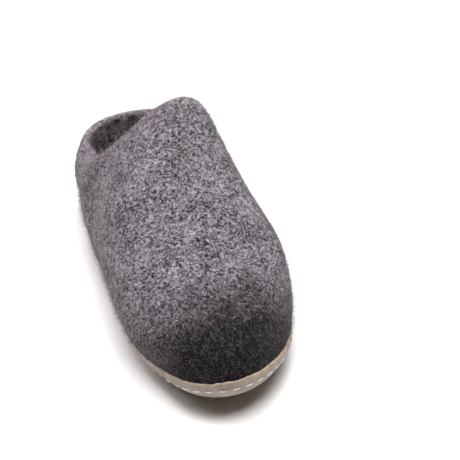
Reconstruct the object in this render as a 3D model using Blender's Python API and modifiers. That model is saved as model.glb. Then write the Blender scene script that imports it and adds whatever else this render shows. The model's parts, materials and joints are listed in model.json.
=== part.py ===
"""Felt slipper: a seamless felted body on a turned-up leather sole.

One slipper, for the wearer's right foot, standing on the floor at z = 0.
The toe points to -Y, the heel to +Y, and +X is the big toe's side.
Lengths are in metres.

Everything follows one last.  Its table of sections, heel to toe, gives the
outline, the ridge of the instep, the widest line and the fullness.  Rings
are laid round that last from the collar down to the floor, and the felt
body, the leather sole and the insole are all made from those rings.
"""
import math

import bmesh
import bpy
import numpy as np
from mathutils import Matrix

# Driving dimensions of the outside of the felt body
LENGTH = 0.274
BALL_WIDTH = 0.109
INSTEP_HEIGHT = 0.1295
HEEL_COLLAR_HEIGHT = 0.057
COLLAR_TILT = -0.0015
TOE_SPRING = 0.0115
ARCH_RISE = 0.002
CORNER_RADIUS = 0.0205

# Thicknesses, the sole's turned-up rim, and the clearance between pieces
FELT_WALL = 0.005
COLLAR_ROUNDING = 0.0019
LEATHER = 0.0022
RIM_HEIGHT = 0.0125
INSOLE_FELT = 0.0035
INSOLE_EASE = 0.0008
GAP = 0.0003

# Where the collar meets the instep, and how the ends of the last are rounded.
# An end has the share of the length over which it rounds, and a squareness
# that is 2 for a plain ellipse.
THROAT_SHARE = 0.434
COLLAR_RISE_POWER = 4.2
RIDGE_LEAN_POWER = 1.8
SPRING_START = 0.64
ARCH_SPAN = (0.26, 0.50)
HEEL_OUTLINE = (0.135, 2.1)
TOE_OUTLINE = (0.28, 2.0)
HEEL_CREST = (0.02, 2.0)
TOE_CREST = (0.265, 2.0)
CORNER_SQUARENESS = 2.0

# The sections of the last, by their share of the length from the heel.
# half_width and centre are shares of half the ball width, crest and widest
# are shares of the instep height, ridge says how far the crest leans to the
# big toe's side as a share of half the ball width, fullness and crown are the
# two exponents of a section above its widest line, and tuck is the share of
# the corner radius by which it draws in below.
LAST = {
    "share": (0.00, 0.15, 0.30, 0.40, 0.53, 0.68, 0.86, 1.00),
    "half_width": (0.85, 0.84, 0.905, 0.92, 0.935, 1.00, 0.915, 0.88),
    "centre": (0.00, 0.00, -0.035, -0.035, -0.035, 0.00, -0.01, -0.08),
    "crest": (0.565, 0.565, 0.87, 1.00, 0.82, 0.608, 0.438, 0.423),
    "widest": (0.253, 0.253, 0.253, 0.214, 0.253, 0.253, 0.19, 0.107),
    "ridge": (0.02, 0.04, 0.125, 0.33, 0.165, 0.125, 0.00, 0.00),
    "fullness": (2.1, 2.1, 1.9, 1.4, 2.2, 2.65, 2.3, 2.3),
    "crown": (2.0, 2.0, 1.9, 1.8, 2.0, 1.95, 2.05, 2.0),
    "tuck": (1.0, 1.0, 1.15, 1.4, 1.25, 1.1, 0.7, 0.5),
}

# How finely the rings are laid
POINTS_AROUND = 72
RINGS_TO_RIM = 15
RINGS_IN_RIM = 4
STEPS_ACROSS = 6
PROFILE_POINTS = 400
SLOPE_STEP = 0.001
SETTLING_ROUNDS = 8

# The least height that counts, and the play allowed when heights are compared
LEAST_HEIGHT = 1e-6
HEIGHT_PLAY = 1e-7

# How far the floor of the felt body lies above the ground
SOLE_DEPTH = LEATHER + GAP


# Functions of the last
def table(column, share):
    """Read a column of LAST on a smooth curve that never overshoots."""
    shares = np.array(LAST["share"])
    values = np.array(LAST[column])
    step = np.diff(shares)
    slope = np.diff(values) / step
    tangent = np.zeros(len(shares))
    for i in range(1, len(shares) - 1):
        if slope[i - 1] * slope[i] > 0:
            before = 2 * step[i] + step[i - 1]
            after = step[i] + 2 * step[i - 1]
            tangent[i] = (before + after) / (before / slope[i - 1] + after / slope[i])
    share = np.clip(share, 0, 1)
    k = np.clip(np.searchsorted(shares, share) - 1, 0, len(step) - 1)
    t = (share - shares[k]) / step[k]
    level = values[k] * (1 + 2 * t) * (1 - t) ** 2 + values[k + 1] * t ** 2 * (3 - 2 * t)
    bend = tangent[k] * t * (1 - t) ** 2 + tangent[k + 1] * t ** 2 * (t - 1)
    return level + step[k] * bend


def rounding(share, heel, toe):
    """Fall from 1 to 0 at both ends, each over its own length and squareness."""
    from_heel = np.clip(1 - share / heel[0], 0, 1)
    from_toe = np.clip(1 - (1 - share) / toe[0], 0, 1)
    at_heel = (1 - from_heel ** heel[1]) ** (1 / heel[1])
    at_toe = (1 - from_toe ** toe[1]) ** (1 / toe[1])
    return at_heel * at_toe


def spring(share):
    """Height that the toe spring adds at a share of the length."""
    return TOE_SPRING * np.clip((share - SPRING_START) / (1 - SPRING_START), 0, None) ** 2


def floor_height(share):
    """Height of the underside of the felt body, before its ends round up."""
    along_arch = np.clip((share - ARCH_SPAN[0]) / (ARCH_SPAN[1] - ARCH_SPAN[0]), 0, 1)
    return SOLE_DEPTH + ARCH_RISE * np.sin(math.pi * along_arch) ** 2 + spring(share)


def widest_height(share):
    """Height of the widest line."""
    return INSTEP_HEIGHT * table("widest", share) + spring(share)


def crest_height(share):
    """Height of the crest, with its two ends rounded down to the widest line."""
    full = INSTEP_HEIGHT * table("crest", share) + spring(share)
    widest = widest_height(share)
    return widest + (full - widest) * rounding(share, HEEL_CREST, TOE_CREST)


def inset_at(share, drop):
    """How far the last draws in at a portion of the way from widest line to floor."""
    radius = CORNER_RADIUS * table("tuck", share)
    return radius * (1 - np.sqrt(1 - drop ** CORNER_SQUARENESS))


def section_at(share, height):
    """Middle and half width of the last, at a share of the length and a height."""
    half_ball = BALL_WIDTH / 2
    wide = half_ball * table("half_width", share)
    widest = widest_height(share)
    rise = np.clip((height - widest) / np.maximum(crest_height(share) - widest, LEAST_HEIGHT), 0, 1)
    drop = np.clip((widest - height) / (widest - floor_height(share)), 0, 1)
    crown = (1 - rise ** table("fullness", share)) ** (1 / table("crown", share))
    above = wide * rounding(share, HEEL_OUTLINE, TOE_OUTLINE) * crown
    inset = inset_at(share, drop)
    inner_share = (share * LENGTH - inset) / (LENGTH - 2 * inset)
    below = (wide - inset) * rounding(inner_share, HEEL_OUTLINE, TOE_OUTLINE)
    lean = table("ridge", share) * rise ** RIDGE_LEAN_POWER
    middle = half_ball * (table("centre", share) + lean)
    return middle, np.where(height >= widest, above, below)


# Rings round the last
def profile_under(end):
    """Shares and heights from the widest line down to the floor, at share 0 or 1."""
    drop = np.sin(np.linspace(0, math.pi / 2, PROFILE_POINTS))
    shares = np.full(PROFILE_POINTS, end)
    for _ in range(SETTLING_ROUNDS):
        shares = np.abs(end - inset_at(shares, drop) / LENGTH)
    widest = widest_height(shares)
    return shares, widest - drop * (widest - floor_height(shares))


def toe_profile():
    """Shares and heights down the middle: throat, toe's tip, and back below."""
    eased = np.sin(np.linspace(0, math.pi / 2, PROFILE_POINTS))
    over = THROAT_SHARE + (1 - THROAT_SHARE) * eased
    under, heights = profile_under(1.0)
    return np.concatenate([over, under]), np.concatenate([crest_height(over), heights])


def heel_profile():
    """Shares and heights down the middle: back of the collar, and under the heel."""
    over = HEEL_CREST[0] * (1 - np.sin(np.linspace(0, math.pi / 2, PROFILE_POINTS)))
    under, heights = profile_under(0.0)
    shares = np.concatenate([over, under])
    heights = np.concatenate([crest_height(over), heights])
    start = np.argmax(heights <= HEEL_COLLAR_HEIGHT)
    return shares[start:], heights[start:]


def reach(profile, lift):
    """First place down a profile whose height over the floor is no more than lift."""
    shares, heights = profile
    return int(np.argmax(heights - floor_height(shares) <= lift + HEIGHT_PLAY))


def place_along(profile, last_point, portion):
    """Share and height at a portion of a profile's length, up to last_point."""
    shares = profile[0][:last_point + 1]
    heights = profile[1][:last_point + 1]
    run = np.hypot(np.diff(shares) * LENGTH, np.diff(heights))
    distance = np.concatenate([[0], np.cumsum(run)])
    at = portion * distance[-1]
    return np.interp(at, distance, shares), np.interp(at, distance, heights)


def ring(back, front, portion):
    """Points of one ring between its places on the heel's and the toe's profile.

    portion is 0 at the collar, whose sides rise late and steeply to the
    throat, and 1 where the ring keeps one height over the floor.
    """
    angle = np.linspace(0, 2 * math.pi, POINTS_AROUND, endpoint=False)
    forward = (1 - np.cos(angle)) / 2
    share = back[0] + (front[0] - back[0]) * forward
    scooped = back[1] + (front[1] - back[1]) * forward ** COLLAR_RISE_POWER
    scooped += COLLAR_TILT * np.sin(angle) * np.sin(math.pi * forward)
    ends = floor_height(np.array([back[0], front[0]]))
    sag = floor_height(share) - ends[0] - (ends[1] - ends[0]) * forward
    level = back[1] + (front[1] - back[1]) * forward + sag
    height = scooped * (1 - portion) + level * portion
    middle, half = section_at(share, height)
    side = np.sign(np.round(np.sin(angle), 9))
    return np.stack([middle + side * half, LENGTH * (0.5 - share), height], axis=1)


def last_rings():
    """All rings, collar first, and the number of the ring along the sole's rim."""
    toe, heel = toe_profile(), heel_profile()
    toe_end, heel_end = reach(toe, RIM_HEIGHT), reach(heel, RIM_HEIGHT)
    rings = []
    for i in range(RINGS_TO_RIM + 1):
        portion = i / RINGS_TO_RIM
        back = place_along(heel, heel_end, portion)
        front = place_along(toe, toe_end, portion)
        rings.append(ring(back, front, portion))
    for i in range(1, RINGS_IN_RIM + 1):
        lift = RIM_HEIGHT * (1 - math.sin(math.pi / 2 * i / RINGS_IN_RIM))
        low_heel, low_toe = reach(heel, lift), reach(toe, lift)
        back = (heel[0][low_heel], heel[1][low_heel])
        front = (toe[0][low_toe], toe[1][low_toe])
        rings.append(ring(back, front, 1.0))
    return rings, RINGS_TO_RIM


# Meshes
def close_across(mesh, edge):
    """Fill a ring of vertices with strips across, from the heel to the toe."""
    half = POINTS_AROUND // 2
    strips = [[edge[0]] * (STEPS_ACROSS + 1)]
    for j in range(1, half):
        right, left = edge[j], edge[-j]
        steps = [k / STEPS_ACROSS for k in range(1, STEPS_ACROSS)]
        inner = [mesh.verts.new(right.co.lerp(left.co, step)) for step in steps]
        strips.append([right, *inner, left])
    strips.append([edge[half]] * (STEPS_ACROSS + 1))
    for near, far in zip(strips, strips[1:]):
        for k in range(STEPS_ACROSS):
            corners = (near[k], near[k + 1], far[k + 1], far[k])
            mesh.faces.new(tuple(dict.fromkeys(corners)))


def skin(rings):
    """An open surface over the rings, closed underneath, with normals outwards."""
    mesh = bmesh.new()
    rows = [[mesh.verts.new(point) for point in row] for row in rings]
    for upper, lower in zip(rows, rows[1:]):
        for j in range(POINTS_AROUND):
            k = (j + 1) % POINTS_AROUND
            mesh.faces.new((upper[j], upper[k], lower[k], lower[j]))
    close_across(mesh, rows[-1])
    bmesh.ops.recalc_face_normals(mesh, faces=mesh.faces)
    mesh.normal_update()
    return mesh


def flow(source, first_ring, offset):
    """Copy the skin from one ring down, moved out along its own normals."""
    keep = source.copy()
    keep.verts.ensure_lookup_table()
    above = [keep.verts[i] for i in range(first_ring * POINTS_AROUND)]
    places = [vert.co + vert.normal * offset for vert in keep.verts]
    for vert, place in zip(keep.verts, places):
        vert.co = place
    bmesh.ops.delete(keep, geom=above, context="VERTS")
    return keep


def make_material(name, colour, roughness):
    """A plain Principled material."""
    material = bpy.data.materials.new(name)
    material.use_nodes = True
    shader = material.node_tree.nodes["Principled BSDF"]
    shader.inputs["Base Color"].default_value = (*colour, 1)
    shader.inputs["Roughness"].default_value = roughness
    shader.inputs["Metallic"].default_value = 0
    return material


def make_node(name, mesh, material, collection):
    """One object from a finished bmesh, with its material."""
    data = bpy.data.meshes.new(name)
    mesh.to_mesh(data)
    mesh.free()
    data.materials.append(material)
    data.shade_smooth()
    node = bpy.data.objects.new(name, data)
    collection.objects.link(node)
    return node


def thicken(node, thickness, side):
    """Give an open surface its wall: side -1 is inwards, 1 is outwards."""
    wall = node.modifiers.new("Wall", "SOLIDIFY")
    wall.thickness = thickness
    wall.offset = side
    wall.use_even_offset = True
    wall.use_quality_normals = True


def round_rim(node, width, segments):
    """Round the two edges of a wall's open rim."""
    edge = node.modifiers.new("Rounded rim", "BEVEL")
    edge.limit_method = "ANGLE"
    edge.angle_limit = math.radians(60)
    edge.width = width
    edge.segments = segments


# Pieces
def make_upper(body, collection):
    """The felted body, made in one piece with its own felt underfoot."""
    felt = make_material("grey_felt", (0.16, 0.155, 0.17), 0.95)
    upper = make_node("upper", flow(body, 0, 0), felt, collection)
    thicken(upper, FELT_WALL, -1)
    round_rim(upper, COLLAR_ROUNDING, 2)


def make_outsole(body, rim_ring, collection):
    """The leather sole, turned up round the felt and sewn there."""
    leather = make_material("cream_leather", (0.62, 0.55, 0.47), 0.8)
    outsole = make_node("outsole", flow(body, rim_ring, GAP), leather, collection)
    thicken(outsole, LEATHER, 1)


def make_insole(floor_ring, collection):
    """The loose felt sole that lies inside, on the floor of the body."""
    felt = make_material("insole_felt", (0.20, 0.19, 0.20), 0.95)
    share = 0.5 - floor_ring[:, 1] / LENGTH
    slope = (floor_height(share + SLOPE_STEP) - floor_height(share)) / (SLOPE_STEP * LENGTH)
    along = np.roll(floor_ring, -1, axis=0) - np.roll(floor_ring, 1, axis=0)
    outwards = np.stack([-along[:, 1], along[:, 0], 0 * slope], axis=1)
    outwards /= np.linalg.norm(outwards, axis=1, keepdims=True)
    edge = floor_ring - INSOLE_EASE * outwards
    edge[:, 2] += (FELT_WALL + GAP) * np.sqrt(1 + slope ** 2)
    sheet = bmesh.new()
    close_across(sheet, [sheet.verts.new(point) for point in edge])
    bmesh.ops.recalc_face_normals(sheet, faces=sheet.faces)
    if sum(face.normal.z for face in sheet.faces) < 0:
        bmesh.ops.reverse_faces(sheet, faces=sheet.faces)
    insole = make_node("insole", sheet, felt, collection)
    thicken(insole, INSOLE_FELT, 1)


def centre_on_origin(collection):
    """Move the meshes together, so that the slipper's outline is centred on x = y = 0."""
    bpy.context.view_layer.update()
    depsgraph = bpy.context.evaluated_depsgraph_get()
    nodes = list(collection.objects)
    corners = np.vstack([np.array(node.evaluated_get(depsgraph).bound_box) for node in nodes])
    middle = (corners.min(axis=0) + corners.max(axis=0)) / 2
    for node in nodes:
        node.data.transform(Matrix.Translation((-middle[0], -middle[1], 0)))


def main():
    for item in list(bpy.data.objects):
        bpy.data.objects.remove(item)
    collection = bpy.data.collections.new("felt_slipper")
    bpy.context.scene.collection.children.link(collection)
    rings, rim_ring = last_rings()
    body = skin(rings)
    make_upper(body, collection)
    make_outsole(body, rim_ring, collection)
    make_insole(rings[-1], collection)
    body.free()
    centre_on_origin(collection)


main()
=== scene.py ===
"""Felt slipper: the looks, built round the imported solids.

The grey melange felt body with its fibres and fuzz, the turned-up suede sole
with its raw edge and its row of running stitches, and the insole.  The toe
points to -Y, the heel to +Y, +X is the big toe's side and lengths are in metres.
"""
import logging
import math
from collections.abc import Sequence
from dataclasses import dataclass
from enum import Enum
from json import dumps

import bmesh
import bpy
import numpy as np
from mathutils import Matrix, Vector
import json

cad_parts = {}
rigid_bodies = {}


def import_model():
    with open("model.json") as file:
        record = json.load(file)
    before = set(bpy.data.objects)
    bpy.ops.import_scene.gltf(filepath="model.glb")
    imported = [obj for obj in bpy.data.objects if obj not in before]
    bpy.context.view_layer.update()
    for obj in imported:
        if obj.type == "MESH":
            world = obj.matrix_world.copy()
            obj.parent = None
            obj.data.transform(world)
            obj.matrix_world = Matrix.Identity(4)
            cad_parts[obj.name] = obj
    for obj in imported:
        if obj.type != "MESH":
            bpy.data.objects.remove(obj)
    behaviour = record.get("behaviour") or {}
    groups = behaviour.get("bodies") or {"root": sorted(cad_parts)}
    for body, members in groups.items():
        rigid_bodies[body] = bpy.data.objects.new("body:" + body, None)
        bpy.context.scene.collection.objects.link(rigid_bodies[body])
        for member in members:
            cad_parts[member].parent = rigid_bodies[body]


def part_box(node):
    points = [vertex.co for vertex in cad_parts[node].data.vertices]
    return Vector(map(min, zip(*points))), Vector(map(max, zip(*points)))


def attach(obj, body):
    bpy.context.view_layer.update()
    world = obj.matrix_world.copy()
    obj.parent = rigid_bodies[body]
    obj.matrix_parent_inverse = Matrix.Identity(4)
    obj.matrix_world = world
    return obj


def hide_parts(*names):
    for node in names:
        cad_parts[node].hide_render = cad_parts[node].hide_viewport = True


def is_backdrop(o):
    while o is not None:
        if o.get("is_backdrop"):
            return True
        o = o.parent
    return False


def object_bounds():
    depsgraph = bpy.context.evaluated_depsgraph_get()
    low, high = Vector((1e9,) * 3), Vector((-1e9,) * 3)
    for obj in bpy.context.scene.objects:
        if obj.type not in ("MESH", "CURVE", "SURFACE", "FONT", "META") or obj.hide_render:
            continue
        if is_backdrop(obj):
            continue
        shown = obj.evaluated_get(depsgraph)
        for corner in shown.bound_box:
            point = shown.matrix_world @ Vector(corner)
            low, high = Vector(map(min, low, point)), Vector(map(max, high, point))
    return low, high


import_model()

LOG = logging.getLogger("slipper")
MM = 0.001
BODY = "root"

Colour = tuple[float, float, float]
Pair = tuple[float, float]
Triple = tuple[float, float, float]
Socket = bpy.types.NodeSocket

# The sections of the last, by their share of the length from the heel, as the solids have them
SECTIONS: dict[str, tuple[float, ...]] = {
    "share": (0.00, 0.15, 0.30, 0.40, 0.53, 0.68, 0.86, 1.00),
    "half_width": (0.85, 0.84, 0.905, 0.92, 0.935, 1.00, 0.915, 0.88),
    "centre": (0.00, 0.00, -0.035, -0.035, -0.035, 0.00, -0.01, -0.08),
    "crest": (0.565, 0.565, 0.87, 1.00, 0.82, 0.608, 0.438, 0.423),
    "widest": (0.253, 0.253, 0.253, 0.214, 0.253, 0.253, 0.19, 0.107),
    "ridge": (0.02, 0.04, 0.125, 0.33, 0.165, 0.125, 0.00, 0.00),
    "fullness": (2.1, 2.1, 1.9, 1.4, 2.2, 2.65, 2.3, 2.3),
    "crown": (2.0, 2.0, 1.9, 1.8, 2.0, 1.95, 2.05, 2.0),
    "tuck": (1.0, 1.0, 1.15, 1.4, 1.25, 1.1, 0.7, 0.5),
}


class Graph:
    """A node tree with short calls that add nodes and link them.

    Attributes:
        tree: The node tree that is being built.
    """

    def __init__(self, tree: bpy.types.NodeTree) -> None:
        """Take a tree and empty it.

        Args:
            tree: The tree to build in.
        """
        self.tree = tree
        tree.nodes.clear()

    def add(self, kind: str, inputs: dict | None = None, **settings: object) -> bpy.types.Node:
        """Add one node.

        Args:
            kind: The node's type name.
            inputs: Values or sockets by input name or number.
            settings: Properties of the node itself.

        Returns:
            The new node.
        """
        node = self.tree.nodes.new(kind)
        for name, value in settings.items():
            setattr(node, name, value)
        for key, value in (inputs or {}).items():
            self.feed(self.socket(node.inputs, key), value)
        return node

    @staticmethod
    def socket(sockets: Sequence[Socket], key: str | int) -> Socket:
        """Find a socket by number, or the one in use by name.

        Args:
            sockets: A node's inputs or outputs.
            key: The socket's name or number.

        Returns:
            The socket.
        """
        if isinstance(key, int):
            return sockets[key]
        named = [one for one in sockets if one.name == key]
        return next((one for one in named if one.enabled), named[0])

    def feed(self, socket: Socket, value: object) -> None:
        """Link a socket to another one, or set its value.

        Args:
            socket: The input socket.
            value: An output socket, or a plain value.
        """
        if isinstance(value, Socket):
            self.tree.links.new(value, socket)
        elif socket.type == "RGBA" and len(value) == 3:
            socket.default_value = (*value, 1.0)
        else:
            socket.default_value = value

    def math(self, operation: str, *values: object, clamp: bool = False) -> Socket:
        """Add a Math node.

        Args:
            operation: The operation's name, such as MULTIPLY.
            values: Its inputs in order.
            clamp: True keeps the result between 0 and 1.

        Returns:
            The result.
        """
        node = self.add("ShaderNodeMath", dict(enumerate(values)), operation=operation, use_clamp=clamp)
        return node.outputs[0]

    def vector(self, operation: str, *values: object) -> Socket:
        """Add a Vector Math node.

        Args:
            operation: The operation's name, such as ADD.
            values: Its inputs in order.

        Returns:
            The resulting vector.
        """
        return self.add("ShaderNodeVectorMath", dict(enumerate(values)), operation=operation).outputs[0]

    def step(self, value: object, low: float, high: float) -> Socket:
        """Add a smooth step between two levels.

        Args:
            value: The value that is looked at.
            low: Where the step puts out 0.
            high: Where the step puts out 1; below low, the step falls instead.

        Returns:
            The mask.
        """
        falls = low > high
        inputs = {
            "Value": value,
            "From Min": min(low, high),
            "From Max": max(low, high),
            "To Min": 1.0 if falls else 0.0,
            "To Max": 0.0 if falls else 1.0,
        }
        return self.add("ShaderNodeMapRange", inputs, interpolation_type="SMOOTHSTEP").outputs["Result"]

    def mix(self, mask: object, first: object, second: object) -> Socket:
        """Blend two colours.

        Args:
            mask: 0 gives the first colour, 1 the second.
            first: A colour or a socket.
            second: A colour or a socket.

        Returns:
            The blended colour.
        """
        node = self.add("ShaderNodeMix", {0: mask, 6: first, 7: second}, data_type="RGBA")
        return node.outputs[2]

    def noise(self, at: object, scale: float, detail: float = 2.0, roughness: float = 0.5) -> Socket:
        """Add a Noise texture.

        Args:
            at: The coordinates.
            scale: Cells in one unit of the coordinates.
            detail: How many finer layers are added.
            roughness: How strong the finer layers are.

        Returns:
            The noise, near 0.5 on average.
        """
        inputs = {"Vector": at, "Scale": scale, "Detail": detail, "Roughness": roughness}
        return self.add("ShaderNodeTexNoise", inputs).outputs[0]

    def chance(self, low: object, high: object, seed: object) -> Socket:
        """Add a random value between two limits.

        Args:
            low: The lower limit.
            high: The upper limit.
            seed: Chooses the values.

        Returns:
            The value.
        """
        node = self.add("FunctionNodeRandomValue", {2: low, 3: high, "Seed": seed}, data_type="FLOAT")
        return node.outputs[1]

    def attribute(self, name: str) -> Socket:
        """Read a mark of the piece's own mesh in a material."""
        return self.add("ShaderNodeAttribute", attribute_name=name).outputs["Fac"]

    def surface(self, colour: Socket, settings: dict[str, object], bump: dict | None = None) -> None:
        """Add the shader, its bump and the material's output.

        Args:
            colour: The base colour.
            settings: Uniform values of the shader by input name.
            bump: Inputs of the Bump node, where there is one.
        """
        shader = self.add("ShaderNodeBsdfPrincipled", {"Base Color": colour})
        for name, value in settings.items():
            shader.inputs[name].default_value = value
        if bump:
            self.feed(shader.inputs["Normal"], self.add("ShaderNodeBump", bump).outputs["Normal"])
        output = self.add("ShaderNodeOutputMaterial")
        self.feed(output.inputs["Surface"], shader.outputs[0])


def start_group(
    name: str, kind: str, inputs: Sequence[tuple[str, str]], outputs: Sequence[tuple[str, str]]
) -> tuple[Graph, bpy.types.Node, bpy.types.Node]:
    """Start a node group with named sockets.

    Args:
        name: The group's name.
        kind: ShaderNodeTree or GeometryNodeTree.
        inputs: Names and socket kinds of its inputs.
        outputs: Names and socket kinds of its outputs.

    Returns:
        The group's Graph, its input node and its output node.
    """
    tree = bpy.data.node_groups.new(name, kind)
    for label, socket_kind in inputs:
        tree.interface.new_socket(label, in_out="INPUT", socket_type="NodeSocket" + socket_kind)
    for label, socket_kind in outputs:
        tree.interface.new_socket(label, in_out="OUTPUT", socket_type="NodeSocket" + socket_kind)
    graph = Graph(tree)
    return graph, graph.add("NodeGroupInput"), graph.add("NodeGroupOutput")


def start_material(name: str) -> Graph:
    """Start an empty material.

    Args:
        name: The material's name.

    Returns:
        The Graph of its node tree.
    """
    material = bpy.data.materials.new(name)
    material.use_nodes = True
    return Graph(material.node_tree)


class MeshMaker:
    """Gathers points and faces from grids, and makes one object of them.

    Attributes:
        points: Blocks of points, in order.
        faces: Corner numbers of each face.
        marks: Values per point by attribute name.
        count: How many points there are so far.
    """

    def __init__(self) -> None:
        """Start with nothing."""
        self.points: list[np.ndarray] = []
        self.faces: list[tuple[int, ...]] = []
        self.marks: dict[str, list[np.ndarray]] = {}
        self.count = 0

    def put(self, points: np.ndarray, **marks: np.ndarray | float) -> np.ndarray:
        """Add points.

        Args:
            points: An array of any shape that ends in 3.
            marks: Attribute values, one for each point or one for all.

        Returns:
            The points' numbers, in the array's own shape.
        """
        flat = points.reshape(-1, 3)
        numbers = np.arange(self.count, self.count + len(flat)).reshape(points.shape[:-1])
        self.points.append(flat)
        for name, value in marks.items():
            self.marks.setdefault(name, []).append(np.broadcast_to(value, points.shape[:-1]).ravel())
        self.count += len(flat)
        return numbers

    def skin(self, numbers: np.ndarray, turned: bool = False, closed: bool = True) -> None:
        """Cover a grid of points with four-sided faces.

        Args:
            numbers: The grid's point numbers, row by row.
            turned: True turns the faces over.
            closed: True joins the last column to the first.
        """
        after = np.roll(numbers, -1, axis=1)
        quads = np.stack([numbers[:-1], after[:-1], after[1:], numbers[1:]], axis=-1)
        if not closed:
            quads = quads[:, :-1]
        quads = quads.reshape(-1, 4)
        if turned:
            quads = quads[:, ::-1]
        self.faces.extend(map(tuple, quads.tolist()))

    def floor(self, ring: np.ndarray, places: np.ndarray, steps: int, turned: bool, **marks: float) -> None:
        """Fill a ring that starts at the heel with strips across.

        Args:
            ring: Point numbers of the ring.
            places: Points of the ring.
            steps: Faces across.
            turned: True turns the faces over.
            marks: Attribute values of the new points.
        """
        half = len(ring) // 2
        right, left = np.arange(1, half), len(ring) - np.arange(1, half)
        share = np.linspace(0, 1, steps + 1)[1:-1, None, None]
        inner = self.put(places[right] + (places[left] - places[right]) * share, **marks)
        strips = np.concatenate([ring[None, right], inner, ring[None, left]])
        self.skin(strips.T, not turned, closed=False)
        for end, strip in ((ring[0], strips[:, 0]), (ring[half], strips[:, -1])):
            for k in range(steps):
                corners = (end, strip[k], strip[k + 1])
                flip = turned == (end == ring[0])
                self.faces.append(tuple(int(n) for n in (corners[::-1] if flip else corners)))

    def make(self, name: str) -> bpy.types.Object:
        """Make the object.

        Args:
            name: The object's name.

        Returns:
            The new object, smooth shaded, with its faces outwards.
        """
        mesh = bpy.data.meshes.new(name)
        mesh.from_pydata(np.concatenate(self.points).tolist(), [], self.faces)
        for label, blocks in self.marks.items():
            layer = mesh.attributes.new(label, "FLOAT", "POINT")
            layer.data.foreach_set("value", np.concatenate(blocks).astype(np.float32))
        work = bmesh.new()
        work.from_mesh(mesh)
        bmesh.ops.recalc_face_normals(work, faces=work.faces)
        work.to_mesh(mesh)
        work.free()
        mesh.shade_smooth()
        piece = bpy.data.objects.new(name, mesh)
        bpy.context.scene.collection.objects.link(piece)
        return piece


def grid_normals(grid: np.ndarray) -> np.ndarray:
    """Outward normals of a closed grid of rings, from the collar down.

    Args:
        grid: Points, row by row round the last.

    Returns:
        One unit vector for each point.
    """
    down = np.gradient(grid, axis=0)
    around = np.roll(grid, -1, axis=1) - np.roll(grid, 1, axis=1)
    normal = np.cross(around, down)
    normal /= np.maximum(np.linalg.norm(normal, axis=-1, keepdims=True), 1e-12)
    outward = np.sum(normal * (grid - grid.mean(axis=1, keepdims=True)))
    return normal * np.sign(outward)


def lumps(points: np.ndarray, size: float, seed: int, waves: int = 28) -> np.ndarray:
    """Soft uneven relief, the same on every run.

    Args:
        points: Where it is wanted.
        size: Typical width of a lump.
        seed: Chooses the pattern.
        waves: How many waves are summed.

    Returns:
        The relief at each point, mostly between -1 and 1.
    """
    chance = np.random.default_rng(seed)
    heading = chance.normal(size=(waves, 3))
    heading /= np.linalg.norm(heading, axis=1, keepdims=True)
    pitch = math.pi / size * chance.uniform(0.6, 1.6, waves)
    phase = chance.uniform(0, 2 * math.pi, waves)
    total = np.zeros(points.shape[:-1])
    for k in range(waves):
        total += np.sin(points @ (heading[k] * pitch[k]) + phase[k])
    return total / math.sqrt(waves / 2) / 1.6


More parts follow.
